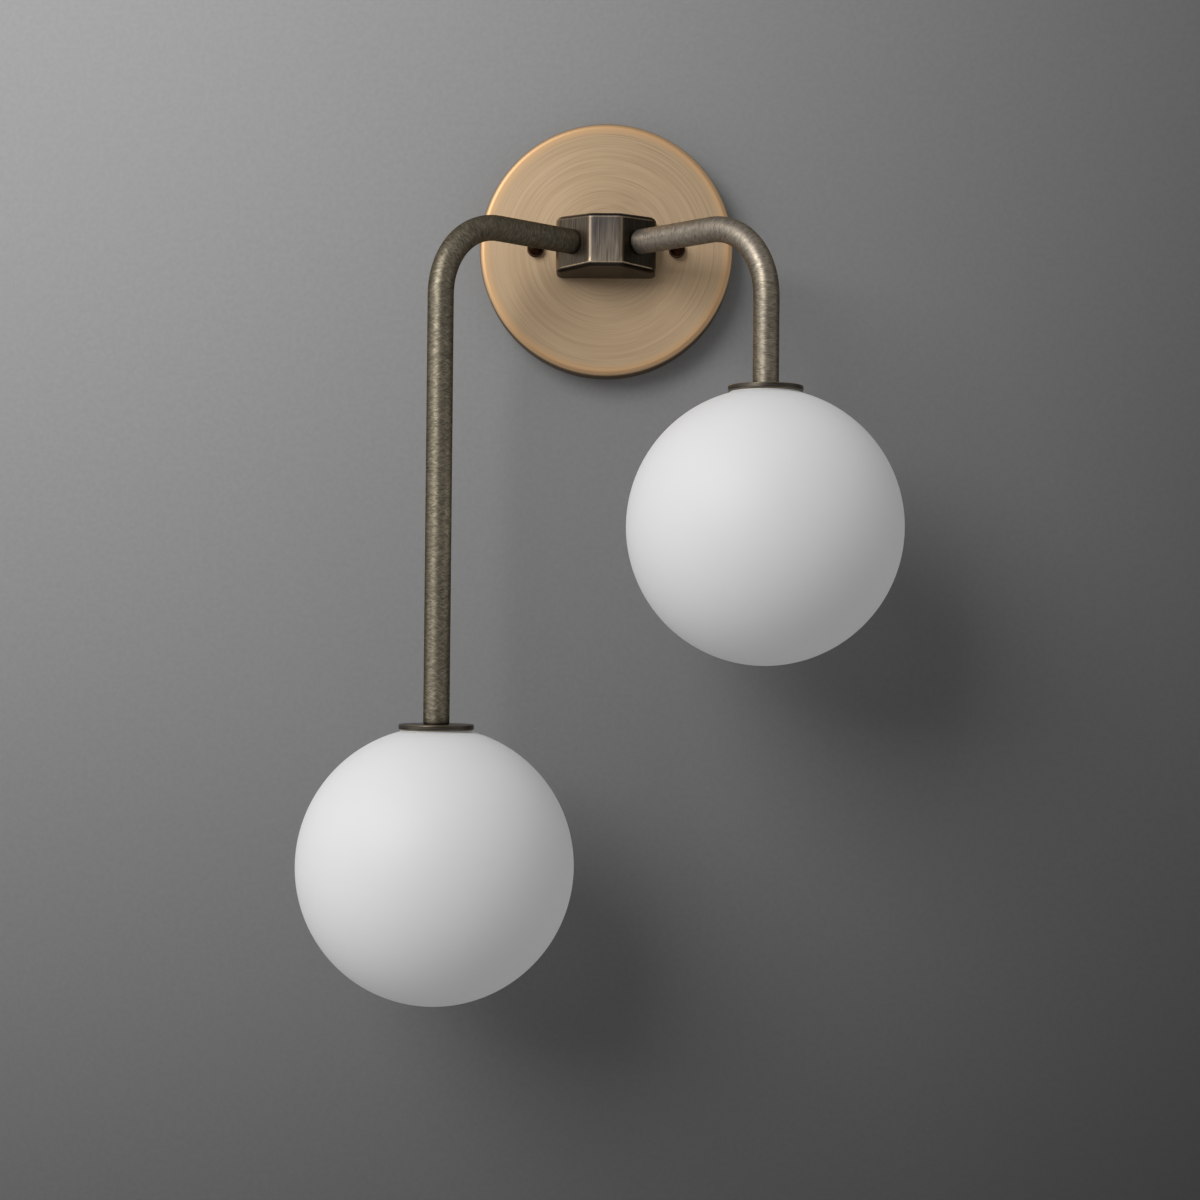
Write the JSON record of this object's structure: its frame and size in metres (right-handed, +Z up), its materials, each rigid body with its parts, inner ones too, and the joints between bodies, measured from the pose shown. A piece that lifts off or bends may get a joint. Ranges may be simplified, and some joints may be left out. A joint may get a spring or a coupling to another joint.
{
  "type": "double arm wall light",
  "caption": "Wall light with a round canopy, a cast hub and bent tube arms of unequal drop, each ending in a disc with a screw-on opal globe.",
  "frame": {"origin": "centre of the canopy and of the crossbar's box-screw pattern, on the wall plane", "axes": "+Z up, +X to the right as seen from the room, +Y into the wall, so the light stands out along -Y"},
  "size_m": [0.2756, 0.1578, 0.4219],
  "materials": {
    "brushed_brass": "circularly brushed antique brass, satin",
    "cast_bronze": "dark cast bronze with rubbed edges",
    "antique_bronze": "dark antique bronze, cross-brushed",
    "disc_bronze": "dark antique bronze, rubbed rim",
    "copper_nut": "aged copper",
    "yellow_brass": "machined brass",
    "zinc_steel": "zinc plated steel",
    "cup_aluminium": "turned aluminium",
    "tinned_copper": "tinned copper",
    "green_screw": "green ground screw",
    "green_sleeve": "green insulation",
    "white_sleeve": "white silicone insulation",
    "connector_plastic": "orange moulded plastic",
    "clear_silicone": "milky silicone",
    "opal_glass": "matte opal white glass",
    "white_ceramic": "unglazed white ceramic",
    "bulb_ceramic": "white bulb base",
    "frosted_glass": "frosted glass",
    "bulb_core": "phosphor coated stick"
  },
  "bodies": {
    "fixture": {"canopy": "brushed_brass", "crossbar": "zinc_steel", "canopy_studs": "zinc_steel", "stud_lock_nuts": "zinc_steel", "ground_screw": "green_screw", "ground_terminals": "tinned_copper", "ground_wire": "green_sleeve", "hub": "cast_bronze", "hub_nipple": "zinc_steel", "hub_washer": "zinc_steel", "hub_lock_nut": "yellow_brass", "arm_nipples": "yellow_brass", "stem_lock_nuts": "yellow_brass", "holder_screws": "zinc_steel", "wire_connector_live": "connector_plastic", "wire_connector_neutral": "connector_plastic", "arm_left": "antique_bronze", "cap_disc_left": "disc_bronze", "stem_nipple_left": "yellow_brass", "threaded_cup_left": "cup_aluminium", "holder_bracket_left": "zinc_steel", "lampholder_left": "white_ceramic", "holder_collar_left": "white_ceramic", "lamp_contacts_left": "tinned_copper", "lamp_wires_left": "white_sleeve", "arm_right": "antique_bronze", "cap_disc_right": "disc_bronze", "stem_nipple_right": "yellow_brass", "threaded_cup_right": "cup_aluminium", "holder_bracket_right": "zinc_steel", "lampholder_right": "white_ceramic", "holder_collar_right": "white_ceramic", "lamp_contacts_right": "tinned_copper", "lamp_wires_right": "white_sleeve"},
    "globe_gasket_left": {"globe_gasket_left": "clear_silicone"},
    "globe_left": {"globe_left": "opal_glass"},
    "bulb_left": {"bulb_base_left": "bulb_ceramic", "bulb_pins_left": "zinc_steel", "bulb_envelope_left": "frosted_glass", "bulb_core_left": "bulb_core"},
    "cap_washer_left": {"cap_washer_left": "copper_nut"},
    "cap_nut_left": {"cap_nut_left": "copper_nut"},
    "globe_gasket_right": {"globe_gasket_right": "clear_silicone"},
    "globe_right": {"globe_right": "opal_glass"},
    "bulb_right": {"bulb_base_right": "bulb_ceramic", "bulb_pins_right": "zinc_steel", "bulb_envelope_right": "frosted_glass", "bulb_core_right": "bulb_core"},
    "cap_washer_right": {"cap_washer_right": "copper_nut"},
    "cap_nut_right": {"cap_nut_right": "copper_nut"}
  },
  "joints": [
    {"name": "globe_left_travel", "type": "slide", "parent": "fixture", "child": "globe_gasket_left", "axis": [0, 0, -1], "range_m": [0, 0.011]},
    {"name": "globe_left_unscrew", "type": "hinge", "parent": "globe_gasket_left", "child": "globe_left", "pos_m": [-0.0745, -0.0945, -0.29608], "axis": [0, 0, -1], "range_deg": [0, 990]},
    {"name": "bulb_left_pull", "type": "slide", "parent": "fixture", "child": "bulb_left", "axis": [0, 0, -1], "range_m": [0, 0.012]},
    {"name": "cap_nut_left_travel", "type": "slide", "parent": "fixture", "child": "cap_washer_left", "axis": [0, -1, 0], "range_m": [0, 0.00437]},
    {"name": "cap_nut_left_turn", "type": "hinge", "parent": "cap_washer_left", "child": "cap_nut_left", "pos_m": [-0.03492, -0.0156, 0], "axis": [0, -1, 0], "range_deg": [0, 1980]},
    {"name": "globe_right_travel", "type": "slide", "parent": "fixture", "child": "globe_gasket_right", "axis": [0, 0, -1], "range_m": [0, 0.011]},
    {"name": "globe_right_unscrew", "type": "hinge", "parent": "globe_gasket_right", "child": "globe_right", "pos_m": [0.0745, -0.0945, -0.14039], "axis": [0, 0, -1], "range_deg": [0, 990]},
    {"name": "bulb_right_pull", "type": "slide", "parent": "fixture", "child": "bulb_right", "axis": [0, 0, -1], "range_m": [0, 0.012]},
    {"name": "cap_nut_right_travel", "type": "slide", "parent": "fixture", "child": "cap_washer_right", "axis": [0, -1, 0], "range_m": [0, 0.00437]},
    {"name": "cap_nut_right_turn", "type": "hinge", "parent": "cap_washer_right", "child": "cap_nut_right", "pos_m": [0.03492, -0.0156, 0], "axis": [0, -1, 0], "range_deg": [0, 1980]}
  ],
  "couplings": [
    {"joint": "globe_left_travel", "follows": "globe_left_unscrew", "m_per_rad": 0.00063662},
    {"joint": "cap_nut_left_turn", "follows": "cap_nut_left_travel", "rad_per_m": 7913.3},
    {"joint": "globe_right_travel", "follows": "globe_right_unscrew", "m_per_rad": 0.00063662},
    {"joint": "cap_nut_right_turn", "follows": "cap_nut_right_travel", "rad_per_m": 7913.3}
  ]
}
